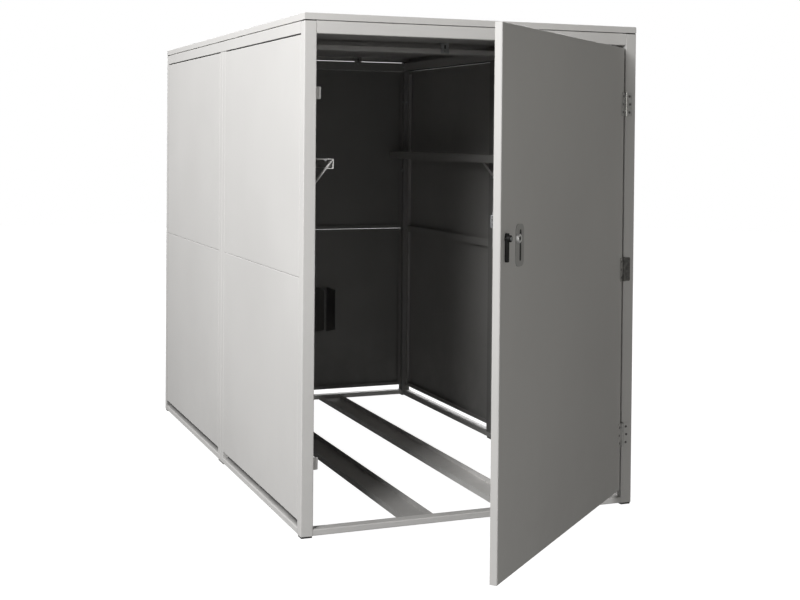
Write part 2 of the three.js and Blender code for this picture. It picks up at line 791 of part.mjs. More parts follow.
// Outer lock plate
const lockPlateFace = outerFace - lockPlateThickness;
function lockPlateSolid() {
  const plate = plateXZ(
    roundedOutline(lockPlateWidth, lockPlateHeight, lockPlateCorner), lockPlateFace, outerFace - seat,
  );
  plate.translate(fromEdge(cylinderInset - lockPlateMargin + lockPlateWidth / 2), 0, lockPlateMiddle);
  const slot = plateXZ(
    roundedOutline(lockSlotWidth, lockSlotLength, lockSlotWidth / 2),
    outerFace - hubLength, outerFace + overrun,
  );
  slot.translate(fromEdge(cylinderInset + lockSlotOffset), 0, lockPlateMiddle);
  return carved(plate, slot, holeAt(cylinderBarrelRadius + shaftClearance, cylinderInset, cylinderHeight));
}
addPiece(door, 'lock_plate', lockPlateSolid(), 'dark');

// Key cylinder, and its plug with the blocking arm
function cylinderGeometry() {
  const bore = plugRadius + seat;
  const barrel = lockPlateFace - seat - guideFace;
    const profile = [
    [bore, barrel], [cylinderBarrelRadius, barrel], [cylinderBarrelRadius, 0],
    [cylinderHeadRadius, 0], [cylinderHeadRadius, cylinderHeadLength - cylinderChamfer],
    [cylinderHeadRadius - cylinderChamfer, cylinderHeadLength], [bore, cylinderHeadLength], [bore, barrel],
  ].map(([r, y]) => new THREE.Vector2(r, y));
  const body = new THREE.LatheGeometry(profile, roundSegments).rotateX(Math.PI);
  return body.translate(fromEdge(cylinderInset), lockPlateFace - seat, cylinderHeight);
}
addPiece(door, 'key_cylinder', cylinderGeometry(), 'chrome');

function plugSolid() {
  const x = fromEdge(cylinderInset);
  const front = lockPlateFace - seat - cylinderHeadLength + plugRecess;
  const plug = rodAlongY(plugRadius, front, boltFar, x, cylinderHeight);
  const arm = boxBetween(
    [x, boltNear, cylinderHeight - armWidth / 2],
    [x + armLength, boltFar, cylinderHeight + armWidth / 2],
  );
  const keyway = boxBetween(
    [x - keywayWidth / 2, front - overrun, cylinderHeight - keywayHeight / 2],
    [x + keywayWidth / 2, front + keywayDepth, cylinderHeight + keywayHeight / 2],
  );
  return carved(joined(plug, arm), keyway);
}
addPiece(door, 'key_plug', plugSolid(), 'chrome');

// The origin is the middle of the object's base
locker.updateMatrixWorld(true);
const bounds = new THREE.Box3().setFromObject(locker, true);
const centre = bounds.getCenter(new THREE.Vector3());
locker.position.set(-centre.x, -centre.y, -bounds.min.z);
locker.updateMatrixWorld(true);

export default locker;
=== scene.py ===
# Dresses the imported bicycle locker: paint, metal and rubber, small fasteners, floor, light and camera.
# Lengths are in metres. A spin is a fastener's turn about its own axis, in radians.
import json
import math

import bpy
from mathutils import Matrix, Vector


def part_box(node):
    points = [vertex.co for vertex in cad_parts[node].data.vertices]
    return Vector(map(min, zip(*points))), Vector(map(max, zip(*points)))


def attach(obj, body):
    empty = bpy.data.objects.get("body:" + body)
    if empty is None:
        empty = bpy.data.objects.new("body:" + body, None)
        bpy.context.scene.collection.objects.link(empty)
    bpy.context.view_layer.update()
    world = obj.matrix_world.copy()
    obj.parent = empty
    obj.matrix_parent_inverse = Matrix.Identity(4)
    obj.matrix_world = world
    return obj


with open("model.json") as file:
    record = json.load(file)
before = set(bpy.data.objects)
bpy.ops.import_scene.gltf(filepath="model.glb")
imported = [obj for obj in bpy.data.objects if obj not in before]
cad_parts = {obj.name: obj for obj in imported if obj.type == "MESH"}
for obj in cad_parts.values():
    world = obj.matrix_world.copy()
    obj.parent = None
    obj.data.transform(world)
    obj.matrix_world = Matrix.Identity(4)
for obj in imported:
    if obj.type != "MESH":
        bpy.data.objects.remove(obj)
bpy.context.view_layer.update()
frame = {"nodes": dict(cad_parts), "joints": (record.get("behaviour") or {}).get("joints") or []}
nodes = frame["nodes"]
joints = {joint["name"]: joint for joint in frame["joints"]}

FORWARD = Vector((0, -1, 0))
DOWN = Vector((0, 0, -1))

# Places taken from the frame
POST_LOW, POST_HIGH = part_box("rear_left_post")
RIGHT_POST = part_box("rear_right_post")
FRONT_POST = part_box("front_right_post")
TUBE = POST_HIGH.x - POST_LOW.x
MID_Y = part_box("left_rear_mid_post")[0].y
BASE_Z = POST_LOW.z
TOP_Z = POST_HIGH.z
HALF_WIDTH = RIGHT_POST[1].x
FRONT_Y = FRONT_POST[0].y
REAR_Y = POST_HIGH.y
INNER_X = HALF_WIDTH - TUBE
HINGE = Vector(joints["door_hinge"]["pos_m"])
HINGE.z = BASE_Z

# The door at rest: its angle, its reach from the hinge's axis, and how far behind the axis its outer face is
DOOR_ANGLE = math.radians(41.83)
DOOR_REACH = 1.0975
OUTER_FACE = 0.0065
DOOR_TURN = Matrix.Rotation(DOOR_ANGLE, 4, "Z")
DOOR_OUT = DOOR_TURN @ FORWARD
FREE_EDGE = DOOR_TURN.to_3x3() @ Vector((-1, 0, 0))

# Sockets of a colour mix node, which are found by number
MIX_FIRST, MIX_SECOND, MIX_RESULT = 6, 7, 2


# Shader graphs
class Graph:
    """A material with its node tree, and short ways to add nodes to it."""

    def __init__(self, name):
        self.material = bpy.data.materials.new(name)
        self.material.use_nodes = True
        self.tree = self.material.node_tree
        self.shader = self.tree.nodes["Principled BSDF"]
        self.place = self.add("ShaderNodeTexCoord").outputs["Object"]

    def add(self, kind, **settings):
        node = self.tree.nodes.new(kind)
        for key, value in settings.items():
            setattr(node, key, value)
        return node

    def link(self, source, target):
        self.tree.links.new(source, target)

    def along(self, axis):
        """The place along one axis of the object, in metres."""
        node = self.add("ShaderNodeSeparateXYZ")
        self.link(self.place, node.inputs["Vector"])
        return node.outputs[axis]

    def noise(self, scale, detail, roughness, stretch=None):
        node = self.add("ShaderNodeTexNoise")
        node.inputs["Scale"].default_value = scale
        node.inputs["Detail"].default_value = detail
        node.inputs["Roughness"].default_value = roughness
        source = self.place
        if stretch:
            mapping = self.add("ShaderNodeMapping")
            mapping.inputs["Scale"].default_value = stretch
            self.link(self.place, mapping.inputs["Vector"])
            source = mapping.outputs["Vector"]
        self.link(source, node.inputs["Vector"])
        return node.outputs["Fac"]

    def ramp(self, value, low, high, at_low=0.0, at_high=1.0):
        node = self.add("ShaderNodeMapRange")
        node.inputs["From Min"].default_value = low
        node.inputs["From Max"].default_value = high
        node.inputs["To Min"].default_value = at_low
        node.inputs["To Max"].default_value = at_high
        self.link(value, node.inputs["Value"])
        return node.outputs["Result"]

    def patches(self, scale, detail, roughness, low=0.3, high=0.7, between=(0.0, 1.0), stretch=None):
        """Noise whose middle, from low to high, is spread between two values."""
        return self.ramp(self.noise(scale, detail, roughness, stretch), low, high, *between)

    def math(self, operation, first, second):
        node = self.add("ShaderNodeMath", operation=operation)
        for socket, value in zip(node.inputs, (first, second)):
            if isinstance(value, (int, float)):
                socket.default_value = value
            else:
                self.link(value, socket)
        return node.outputs["Value"]

    def mix(self, share, first, second):
        node = self.add("ShaderNodeMix", data_type="RGBA")
        self.link(share, node.inputs["Factor"])
        for socket, value in zip((node.inputs[MIX_FIRST], node.inputs[MIX_SECOND]), (first, second)):
            if isinstance(value, tuple):
                socket.default_value = (*value, 1)
            else:
                self.link(value, socket)
        return node.outputs[MIX_RESULT]

    def colour(self, value):
        self.link(value, self.shader.inputs["Base Color"])

    def roughness(self, value):
        self.link(value, self.shader.inputs["Roughness"])

    def bump(self, height, strength, distance):
        node = self.add("ShaderNodeBump")
        node.inputs["Strength"].default_value = strength
        node.inputs["Distance"].default_value = distance
        self.link(height, node.inputs["Height"])
        self.link(node.outputs["Normal"], self.shader.inputs["Normal"])

    def set(self, socket, value):
        self.shader.inputs[socket].default_value = value


# Roughness of the smoothest and the roughest patches of a coat
SATIN = (0.36, 0.5)
MATT = (0.5, 0.65)
WORN = (0.4, 0.55)
# Stretches of noise, and scales of it
UPRIGHT_STREAKS = (6, 6, 0.5)
LONG_GRAIN = (1, 1, 30)
EVEN_GRAIN = (1, 1, 1)
HINGE_PATCHES = 70
PEEL_SCALE = 420
# Dirt on a coat: how high it reaches, its tone beside the dark one, and its share in the streaks
DIRT_REACH = 0.42
DIRT_TONE = 0.55
STREAK_SHARE = 0.12
# Depths of the bumps
PEEL_DEPTH = 0.0004
METAL_DEPTH = 0.0003
RUBBER_DEPTH = 0.0006


def paint(name, light, dark, rough=SATIN, dust=0.25, peel=0.12, cloud_scale=1.6, gloss=0.4):
    """A coat in soft clouds of two tones, with faint streaks, dirt near the ground and an orange peel."""
    graph = Graph(name)
    dirt = tuple(DIRT_TONE * c for c in dark)
    cloud = graph.patches(cloud_scale, 2, 0.45, low=0.32)
    streak = graph.patches(2.2, 4, 0.6, low=0.45, high=0.75, stretch=UPRIGHT_STREAKS)
    tone = graph.mix(cloud, light, dark)
    tone = graph.mix(graph.math("MULTIPLY", streak, STREAK_SHARE * dust), tone, dirt)
    near_ground = graph.ramp(graph.along("Z"), 0.0, DIRT_REACH, at_low=1.0, at_high=0.0)
    patchy = graph.math("MULTIPLY", near_ground, graph.patches(9, 5, 0.7, low=0.35))
    graph.colour(graph.mix(graph.math("MULTIPLY", patchy, dust), tone, dirt))
    graph.roughness(graph.patches(14, 4, 0.6, between=rough))
    grain = graph.math("ADD", graph.noise(PEEL_SCALE, 2, 0.5), graph.noise(95, 2, 0.5))
    graph.bump(grain, peel, PEEL_DEPTH)
    graph.set("Specular IOR Level", gloss)
    return graph.material


def shaded_paint(name, light, dark, inner_x, outer_x):
    """Paint with painted shade, darker from the outer edge towards the slot behind it."""
    graph = Graph(name)
    depth = graph.ramp(graph.along("X"), outer_x, inner_x)
    uneven = graph.math("ADD", depth, graph.patches(18, 4, 0.6, between=(-0.08, 0.08)))
    graph.colour(graph.mix(graph.ramp(uneven, 0.0, 1.0), light, dark))
    graph.roughness(graph.patches(14, 4, 0.6, between=MATT))
    graph.bump(graph.noise(PEEL_SCALE, 2, 0.5), 0.12, PEEL_DEPTH)
    graph.set("Specular IOR Level", 0.2)
    return graph.material


def metal(name, light, dark, rough=(0.2, 0.34), grain=LONG_GRAIN, peel=0.08):
    """Bare metal in two tones, with a grain that may run along one axis."""
    graph = Graph(name)
    graph.colour(graph.mix(graph.patches(30, 4, 0.6), light, dark))
    graph.roughness(graph.patches(60, 3, 0.6, between=rough, stretch=grain))
    graph.bump(graph.noise(180, 3, 0.6, grain), peel, METAL_DEPTH)
    graph.set("Metallic", 1)
    return graph.material


def zinc(name):
    """Zinc plating with its cells."""
    graph = Graph(name)
    cells = graph.add("ShaderNodeTexVoronoi")
    cells.inputs["Scale"].default_value = 55
    graph.link(graph.place, cells.inputs["Vector"])
    bright = graph.ramp(cells.outputs["Distance"], 0.0, 0.8)
    graph.colour(graph.mix(bright, (0.5, 0.51, 0.52), (0.38, 0.39, 0.4)))
    graph.roughness(graph.patches(40, 4, 0.6, between=(0.34, 0.5)))
    graph.bump(graph.noise(120, 3, 0.6), 0.06, METAL_DEPTH)
    graph.set("Metallic", 0.85)
    return graph.material


def rubber(name, light, dark):
    """Rubber with dust in patches of a lighter tone."""
    graph = Graph(name)
    graph.colour(graph.mix(graph.patches(25, 5, 0.65, low=0.35), dark, light))
    graph.roughness(graph.patches(60, 3, 0.5, between=(0.68, 0.88)))
    graph.bump(graph.noise(260, 3, 0.6), 0.3, RUBBER_DEPTH)
    return graph.material


PAINT = paint("grey_powder_coat", (0.612, 0.602, 0.587), (0.578, 0.568, 0.554), (0.41, 0.46), dust=0.1)
# Painted shade: a darker copy of the grey coat for the free edge of the door
EDGE_SHADE = paint("door_edge_painted_shade", (0.53, 0.521, 0.508), (0.49, 0.482, 0.469), dust=0.1)
# Painted shade of the closed cabinet: darker copies of the grey coat on the faces that look inside, and a
# near-black one on the undersides of the top rails
INSIDE = paint("painted_shade_rear_inner_side", (0.26, 0.256, 0.248), (0.22, 0.216, 0.21), MATT, dust=0.4)
FRAME_INSIDE = paint("painted_shade_inner_frame", (0.32, 0.315, 0.305), (0.27, 0.265, 0.258), MATT, dust=0.4)
UNDERSIDE = paint("shaded_underside", (0.09, 0.088, 0.086), (0.07, 0.069, 0.067), (0.55, 0.7), dust=0.0)
SIDE_INSIDE = paint("painted_shade_grey_inner_side", (0.47, 0.462, 0.45), (0.41, 0.403, 0.392), MATT, dust=0.4)
HINGE_PAINT = paint(
    "hinge_paint", (0.56, 0.555, 0.545), (0.36, 0.355, 0.345),
    dust=0.0, peel=0.2, cloud_scale=HINGE_PATCHES,
)
DARK_HINGE = paint(
    "dark_hinge_paint", (0.09, 0.088, 0.083), (0.19, 0.186, 0.177),
    WORN, dust=0.0, peel=0.3, cloud_scale=HINGE_PATCHES,
)
WORN_HINGE = paint(
    "worn_hinge_paint", (0.32, 0.315, 0.3), (0.46, 0.452, 0.436),
    WORN, dust=0.0, peel=0.3, cloud_scale=HINGE_PATCHES,
)
HOLDER = paint("dark_grey_paint", (0.24, 0.236, 0.229), (0.19, 0.187, 0.181), MATT, dust=0.3)
BLACK = paint(
    "black_coat", (0.006, 0.006, 0.006), (0.01, 0.01, 0.0097),
    (0.45, 0.6), dust=0.0, peel=0.15, cloud_scale=30, gloss=0.2,
)
SCREW = paint(
    "dark_screw", (0.12, 0.118, 0.114), (0.18, 0.177, 0.17),
    (0.35, 0.5), dust=0.0, peel=0.2, cloud_scale=HINGE_PATCHES,
)
PLATE = paint("mid_grey_plate", (0.44, 0.435, 0.425), (0.39, 0.386, 0.377), dust=0.0, peel=0.15)
# Painted shade and light on the tyre channels, two copies of one part: the left one darker and the right one
# paler than the grey coat
LIT_AND_SHADED_CHANNEL = {
    "left": paint("painted_shade_channel", (0.46, 0.452, 0.44), (0.4, 0.393, 0.382)),
    "right": paint("painted_light_channel", (0.8, 0.787, 0.768), (0.74, 0.728, 0.71)),
}
# Painted shade for the insides of slots
DARK = paint("painted_recess_shade", (0.03, 0.03, 0.029), (0.045, 0.045, 0.043), (0.5, 0.7), dust=0.0)
# Painted shade on the top of the left sill, under the wall's lower edge
SILL_TOP = shaded_paint(
    "shaded_sill", (0.5, 0.492, 0.48), (0.1, 0.098, 0.095),
    inner_x=-HALF_WIDTH + 0.022, outer_x=-HALF_WIDTH + 0.002,
)
STEEL = metal("bright_steel", (0.62, 0.62, 0.61), (0.46, 0.46, 0.455))
DULL_STEEL = metal("dull_steel", (0.34, 0.34, 0.33), (0.24, 0.24, 0.235), (0.5, 0.65))
CHROME = metal("satin_chrome", (0.9, 0.9, 0.9), (0.8, 0.8, 0.805), (0.42, 0.52), EVEN_GRAIN, 0.04)
DARK_STEEL = metal("dark_steel", (0.13, 0.13, 0.128), (0.08, 0.08, 0.079), (0.35, 0.5), EVEN_GRAIN, 0.04)
ZINC = zinc("zinc_plating")
RUBBER = rubber("black_rubber", (0.045, 0.043, 0.04), (0.018, 0.018, 0.018))
# Painted light: a paler copy of the black rubber for the feet behind the front ones
PAINTED_LIGHT_RUBBER = rubber("painted_light_rubber", (0.3, 0.295, 0.285), (0.19, 0.187, 0.18))
BUMPER = paint("pale_bumper", (0.74, 0.735, 0.72), (0.66, 0.655, 0.64), (0.45, 0.6), dust=0.0)

FINISH = {
    "turn_lever": BLACK, "lock_plate": PLATE, "key_cylinder": CHROME, "key_plug": DARK_STEEL,
    "lock_bolt": STEEL, "spindle_crank": STEEL, "bolt_guide": ZINC,
    "left_roof_clip": ZINC, "right_roof_clip": ZINC,
}


def finish_of(name):
    """The main coat of a piece."""
    if name.endswith("_foot"):
        # Painted light: the feet behind the front ones are paler
        return RUBBER if name.startswith("front") else PAINTED_LIGHT_RUBBER
    if name.startswith("middle_hinge"):
        return WORN_HINGE if name.endswith("door_leaf") else DARK_HINGE
    if name.endswith("_hinge_pin"):
        return STEEL if name.startswith("top") else DULL_STEEL
    if "_hinge_" in name:
        return HINGE_PAINT if name.startswith("top") else PAINT
    if name.endswith("_wheel_holder"):
        return HOLDER
    if name.endswith("_tyre_channel"):
        return LIT_AND_SHADED_CHANNEL[name.split("_")[0]]
    return FINISH.get(name, PAINT)


# Painted shade on the inner faces of the frame, as dark as the walls behind them: the coat and the ways that
# its faces look
INNER_FRAME_SHADE = {"rear_top_rail": (FRAME_INSIDE, [FORWARD, DOWN])}
for side, inward in (("left", Vector((1, 0, 0))), ("right", Vector((-1, 0, 0)))):
    INNER_FRAME_SHADE[f"rear_{side}_post"] = (FRAME_INSIDE, [inward, FORWARD])
    INNER_FRAME_SHADE[f"{side}_front_mid_post"] = (FRAME_INSIDE, [inward])
    INNER_FRAME_SHADE[f"{side}_rear_mid_post"] = (FRAME_INSIDE, [inward])
    INNER_FRAME_SHADE[f"{side}_top_rail"] = (UNDERSIDE, [DOWN])
    INNER_FRAME_SHADE[f"{side}_shelf_rail"] = (SIDE_INSIDE, [inward])
OUTWARD = {"left": Vector((-1, 0, 0)), "right": Vector((1, 0, 0)), "rear": Vector((0, 1, 0))}
KNUCKLE = {"top": STEEL, "middle": DARK_HINGE, "bottom": HINGE_PAINT}
KNUCKLE_REACH = 0.006       # from the hinge's axis
FACING = 0.5                # a face looks a way when its normal goes more than this along it
RAIL_FACE = 0.04            # from a shelf rail's top; the braces below it stay light


def second_coat(name):
    """The other coat of a piece and the test for the faces that wear it, or nothing."""
    place = name.split("_")[0]
    # Painted shade on the free edge of the door
    if name == "door_panel":
        return EDGE_SHADE, lambda face: face.normal.dot(FREE_EDGE) > FACING
    # Painted shade on the faces of the wall panels that do not look outward
    if name.endswith("_panel"):
        coat = INSIDE if place == "rear" else SIDE_INSIDE
        return coat, lambda face: face.normal.dot(OUTWARD[place]) < FACING
    # Painted shade on the inner faces of the frame
    if name in INNER_FRAME_SHADE:
        coat, ways = INNER_FRAME_SHADE[name]
        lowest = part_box(name)[1].z - RAIL_FACE if name.endswith("_shelf_rail") else 0.0
        return coat, lambda face: face.center.z > lowest and max(map(face.normal.dot, ways)) > FACING
    # Painted shade on the top of the left sill
    if name == "left_sill":
        return SILL_TOP, lambda face: face.normal.z > FACING
    if name.endswith("_leaf"):
        return KNUCKLE[place], lambda face: (face.center - HINGE).to_2d().length < KNUCKLE_REACH
    return None


EDGE_WIDTH = 0.0006
EDGE_SEGMENTS = 2
EDGE_ANGLE = math.radians(40)

for name, piece in nodes.items():
    piece.data.materials.clear()
    piece.data.materials.append(finish_of(name))
    second = second_coat(name)
    if second:
        coat, wears = second
        piece.data.materials.append(coat)
        for face in piece.data.polygons:
            face.material_index = 1 if wears(face) else 0
    soften = piece.modifiers.new("edges", "BEVEL")
    soften.width = EDGE_WIDTH
    soften.segments = EDGE_SEGMENTS
    soften.limit_method = "ANGLE"
    soften.angle_limit = EDGE_ANGLE
    soften.harden_normals = True


# Pieces built ring by ring
def bands(rings, count):
    """The faces between each ring of points and the next."""
    faces = []
    for r in range(rings - 1):
        for k in range(count):
            n = (k + 1) % count
            faces.append((r * count + k, r * count + n, (r + 1) * count + n, (r + 1) * count + k))
    return faces


def new_piece(name, points, faces, material):
    """A new object of one material, in the scene."""
    mesh = bpy.data.meshes.new(name)
    mesh.from_pydata(points, [], faces)
    mesh.materials.append(material)
    mesh.update()
    piece = bpy.data.objects.new(name, mesh)
    bpy.context.scene.collection.objects.link(piece)
    return piece


def ringed(name, rings, material, body, place):
    """Joins rings of points into one closed skin; the first and last rings are closed with flat ends."""
    count = len(rings[0])
    points = [tuple(point) for ring in rings for point in ring]
    ends = tuple(reversed(range(count))), tuple(range((len(rings) - 1) * count, len(rings) * count))
    piece = new_piece(name, points, [ends[0], *bands(len(rings), count), ends[1]], material)
    piece.matrix_world = place
    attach(piece, body)


def circle(radius, height, count, shape=None):
    """A ring about the Z axis; shape may change its radius with the angle."""
    ring = []
    for k in range(count):
        turn = 2 * math.pi * k / count
        r = radius if shape is None else shape(turn, radius)
        ring.append((r * math.cos(turn), r * math.sin(turn), height))
    return ring


def hexagon(turn, radius):
    """The sides of a hexagon whose corners reach the radius."""
    return radius * math.cos(math.pi / 6) / math.cos((turn % (math.pi / 3)) - math.pi / 6)


CROSS_WIDTH = 0.3
TINY = 1e-9


def cross(turn, radius):
    """The recess of a cross-head screw: two bars, each CROSS_WIDTH as wide as long."""
    arm, half = radius, radius * CROSS_WIDTH
    c, s = abs(math.cos(turn)) + TINY, abs(math.sin(turn)) + TINY
    return max(min(arm / c, half / s), min(arm / s, half / c))


def stadium(width, length, height, count=40):
    """An oblong ring with round ends, long in Y."""
    ring = []
    straight = (length - width) / 2
    for k in range(count):
        turn = 2 * math.pi * (k + 0.5) / count
        lift = straight if math.sin(turn) > 0 else -straight
        ring.append((width / 2 * math.cos(turn), width / 2 * math.sin(turn) + lift, height))
    return ring


def rounded(half_x, half_y, corner, height, count=4):
    """A rectangular ring with rounded corners."""
    ring = []
    for quarter, (sign_x, sign_y) in enumerate(((1, 1), (-1, 1), (-1, -1), (1, -1))):
        for k in range(count + 1):
            turn = math.pi / 2 * (quarter + k / count)
            x = sign_x * (half_x - corner) + corner * math.cos(turn)
            y = sign_y * (half_y - corner) + corner * math.sin(turn)
            ring.append((x, y, height))
    return ring


def facing(point, outward, spin=0.0):
    """A place at a point with its own Z axis along outward."""
    turn = Vector(outward).to_track_quat("Z", "Y").to_matrix().to_4x4()
    return Matrix.Translation(point) @ turn @ Matrix.Rotation(spin, 4, "Z")


def on_door(inset, out, height):
    """A point on the door: inset from the free edge, out of the outer face, at a height above BASE_Z."""
    local = Vector((inset - DOOR_REACH, OUTER_FACE - out, height))
    return HINGE + DOOR_TURN @ local


# Each row of a profile is a share of the radius, a height above the face under the head, and a shape
SCREW_SIDES, SCREW_RADIUS = 48, 0.0042
SCREW_PROFILE = (
    (1.0, -0.0004, None), (1.0, 0.0003, None), (0.9, 0.0009, None),
    (0.68, 0.0013, None), (0.5, 0.0014, cross), (0.42, 0.0002, cross),
)
BOLT_SIDES = 36
BOLT_PROFILE = (
    (1.25, -0.0005, None), (1.25, 0.0008, None), (1.02, 0.0012, hexagon),
    (1.02, 0.004, hexagon), (0.84, 0.0046, None), (0.5, 0.0047, None),
)


def turned(profile, radius, count):
    """The rings of a profile for a head of one radius."""
    return [circle(radius * share, height, count, shape) for share, height, shape in profile]


def screw(name, point, outward, body, spin):
    rings = turned(SCREW_PROFILE, SCREW_RADIUS, SCREW_SIDES)
    ringed(name, rings, SCREW, body, facing(point, outward, spin))


def bolt_head(name, point, outward, radius, spin):
    rings = turned(BOLT_PROFILE, radius, BOLT_SIDES)
    ringed(name, rings, ZINC, "cabinet", facing(point, outward, spin))


# Hinge screws, three on each leaf; the middle one stands further from the hinge's axis
LEAF = 0.0025
SCREW_ROWS = ((-0.027, 0.0165), (0.0, 0.0185), (0.027, 0.0165))
for place in ("top", "middle", "bottom"):
    low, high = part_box(place + "_hinge_frame_leaf")
    centre = (low.z + high.z) / 2
    for k, (rise, off_axis) in enumerate(SCREW_ROWS):
        point = Vector((HINGE.x + off_axis, FRONT_Y - LEAF, centre + rise))
        screw(f"{place}_frame_screw_{k}", point, FORWARD, "cabinet", spin=0.3 + 0.7 * k)
        point = on_door(DOOR_REACH - off_axis, LEAF, centre + rise - BASE_Z)
        screw(f"{place}_door_screw_{k}", point, DOOR_OUT, "door", spin=1.0 + 0.5 * k)

# Cap in the hub of the turn lever, in rings of radius and height
HUB = on_door(inset=0.034, out=0.0155, height=0.9735)
CAP_SIDES = 32
LEVER_CAP = ((0.0056, -0.0004), (0.0056, 0.0012), (0.0048, 0.0019), (0.002, 0.0021))
cap = [circle(radius, height, CAP_SIDES) for radius, height in LEVER_CAP]
ringed("lever_cap", cap, ZINC, "handle", facing(HUB, DOOR_OUT))

# Painted shade in the slot of the lock plate: a dark piece behind it, in rings of width, length and height
ON_FRONT = Matrix.Rotation(math.pi / 2, 4, "X")
SLOT_SHADE_RINGS = ((0.0126, 0.0876, -0.0001), (0.0126, 0.0876, 0.0018), (0.0118, 0.0868, 0.0021))
place = Matrix.Translation(on_door(inset=0.1395, out=0.0003, height=0.949)) @ DOOR_TURN @ ON_FRONT
ringed("slot_shade", [stadium(*ring) for ring in SLOT_SHADE_RINGS], DARK, "door", place)

# Bolts that hold the shelf rails, the roof clips, the wheel holders, the rear rail and the pairs of posts
RAIL_SHEET, BRACE_SHEETS = 0.002, 0.004
RAIL_END = 0.006            # from the rail's end, and from the brace's foot
RAIL_BOLT_DROP = 0.0135
NUT_INSET, NUT_END, NUT_DROP = 0.043, 0.009, 0.002
BRACKET = 0.003
CLIP_BOLT_RISE, CLIP_SLOT_RISE = 0.0095, 0.026
CLIP_SLOT = ((0.0062, 0.016, -0.0002), (0.0062, 0.016, 0.0002), (0.0054, 0.0152, 0.0003))
HOLDER_END, HOLDER_EDGE, HOLDER_SHEET = 0.025, 0.009, 0.004
REAR_BOLT_INSET, REAR_BOLT_DROPS = 0.005, (0.004, 0.021)
POST_BOLT_RISE, POST_BOLT_BACK, POST_BOLT_SIDE = 1.4125, 0.011, 0.013
PAIR_BOLT_RISES = (0.25, 0.78, 1.3)

for side, sx in (("left", -1), ("right", 1)):
    inward = (-sx, 0, 0)
    rail_low, rail_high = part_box(side + "_shelf_rail")
    for k, y in enumerate((rail_low.y + RAIL_END, MID_Y, rail_high.y - RAIL_END)):
        upper, lower = (rail_high.z - RAIL_BOLT_DROP, RAIL_SHEET), (rail_low.z + RAIL_END, BRACE_SHEETS)
        for j, (z, reach) in enumerate((upper, lower)):
            point = Vector((sx * (INNER_X - reach), y, z))
            bolt_head(f"{side}_rail_bolt_{k}_{j}", point, inward, radius=0.0048, spin=0.3 * k)
    clip_low, clip_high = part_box(side + "_roof_clip")
    x = (clip_low.x + clip_high.x) / 2
    for end, y in (("middle", clip_low.y), ("rear", REAR_Y - TUBE - BRACKET)):
        point = Vector((x, y, clip_low.z + CLIP_BOLT_RISE))
        bolt_head(f"{side}_{end}_clip_bolt", point, FORWARD, radius=0.0045, spin=0.4)
        # Painted shade in the slots of the roof clips: dark ovals on the clips' faces
        groove = [stadium(*ring) for ring in CLIP_SLOT]
        place = Matrix.Translation((x, y, clip_low.z + CLIP_SLOT_RISE)) @ ON_FRONT
        ringed(f"{side}_{end}_clip_slot_shade", groove, DARK, "cabinet", place)
    holder_low, holder_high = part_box(side + "_wheel_holder")
    for j, z in enumerate((holder_low.z + HOLDER_END, holder_high.z - HOLDER_END)):
        for n, x in enumerate((holder_low.x + HOLDER_EDGE, holder_high.x - HOLDER_EDGE)):
            point = Vector((x, holder_high.y - HOLDER_SHEET, z))
            bolt_head(f"{side}_holder_bolt_{j}_{n}", point, FORWARD, radius=0.0045, spin=0.5 * j)
    nut = Vector((sx * (INNER_X - NUT_INSET), rail_low.y + NUT_END, rail_high.z - NUT_DROP))
    bolt_head(f"{side}_rail_nut", nut, DOWN, radius=0.0058, spin=0.4)
    for j, drop in enumerate(REAR_BOLT_DROPS):
        point = Vector((sx * (INNER_X - REAR_BOLT_INSET), REAR_Y - TUBE, TOP_Z - drop))
        bolt_head(f"{side}_rear_rail_bolt_{j}", point, FORWARD, radius=0.0036, spin=0.2)
    point = Vector((sx * INNER_X, REAR_Y - TUBE + POST_BOLT_BACK, BASE_Z + POST_BOLT_RISE))
    bolt_head(f"{side}_post_bolt_0", point, inward, radius=0.004, spin=0.3)
    point = Vector((sx * (INNER_X + POST_BOLT_SIDE), REAR_Y - TUBE, BASE_Z + POST_BOLT_RISE))
    bolt_head(f"{side}_post_bolt_1", point, FORWARD, radius=0.004, spin=0.5)
    for j, rise in enumerate(PAIR_BOLT_RISES):
        point = Vector((sx * (HALF_WIDTH - TUBE / 2), MID_Y - TUBE, BASE_Z + rise))
        bolt_head(f"{side}_pair_bolt_{j}", point, FORWARD, radius=0.005, spin=0.3 * j)

# Black caps in the open tops of the corner posts, in rings of half width, half length, corner and height
POST_CAP = (
    (0.0195, 0.0195, 0.004, 0.0001), (0.0195, 0.0195, 0.004, 0.0027),
    (0.0187, 0.0187, 0.0034, 0.0033),
)
cap = [rounded(*ring) for ring in POST_CAP]
for end, y in (("front", FRONT_Y + TUBE / 2), ("rear", REAR_Y - TUBE / 2)):
    for side, sx in (("left", -1), ("right", 1)):
        place = Matrix.Translation((sx * (HALF_WIDTH - TUBE / 2), y, TOP_Z))
        ringed(f"{end}_{side}_post_cap", cap, BLACK, "cabinet", place)

# Pale bumpers on the ends of the two door stops
BUMPER_RINGS = (
    (0.0025, 0.019, 0.001, -0.0002), (0.0025, 0.019, 0.001, 0.0045),
    (0.0019, 0.0184, 0.0008, 0.0052),
)
STOP_BACK = 0.025
STOP_RISES = (("lower", 0.22), ("upper", 1.3785))
bumper = [rounded(*ring) for ring in BUMPER_RINGS]
stop_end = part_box("front_left_post")[1].x
for place, rise in STOP_RISES:
    point = Vector((stop_end, FRONT_Y + STOP_BACK, BASE_Z + rise))
    ringed(f"{place}_stop_bumper", bumper, BUMPER, "cabinet", facing(point, (1, 0, 0)))

# Camera at the photograph's place, solved from its lines in a frame with the front face at SOLVED_FRONT
PHOTO_WIDTH, PHOTO_HEIGHT = 800, 600
FOCAL = 1319.6
PRINCIPAL_X, PRINCIPAL_Y = 400.54, 159.2
SOLVED_FRONT = -1.033
CAMERA_PLACE = Vector((-1.8144, -4.9248, 1.2416)) + Vector((0, FRONT_Y - SOLVED_FRONT, BASE_Z))
YAW, PITCH, ROLL = math.radians(-21.65), math.radians(0.94), math.radians(0.51)
SENSOR = 36
CLIP_END = 100

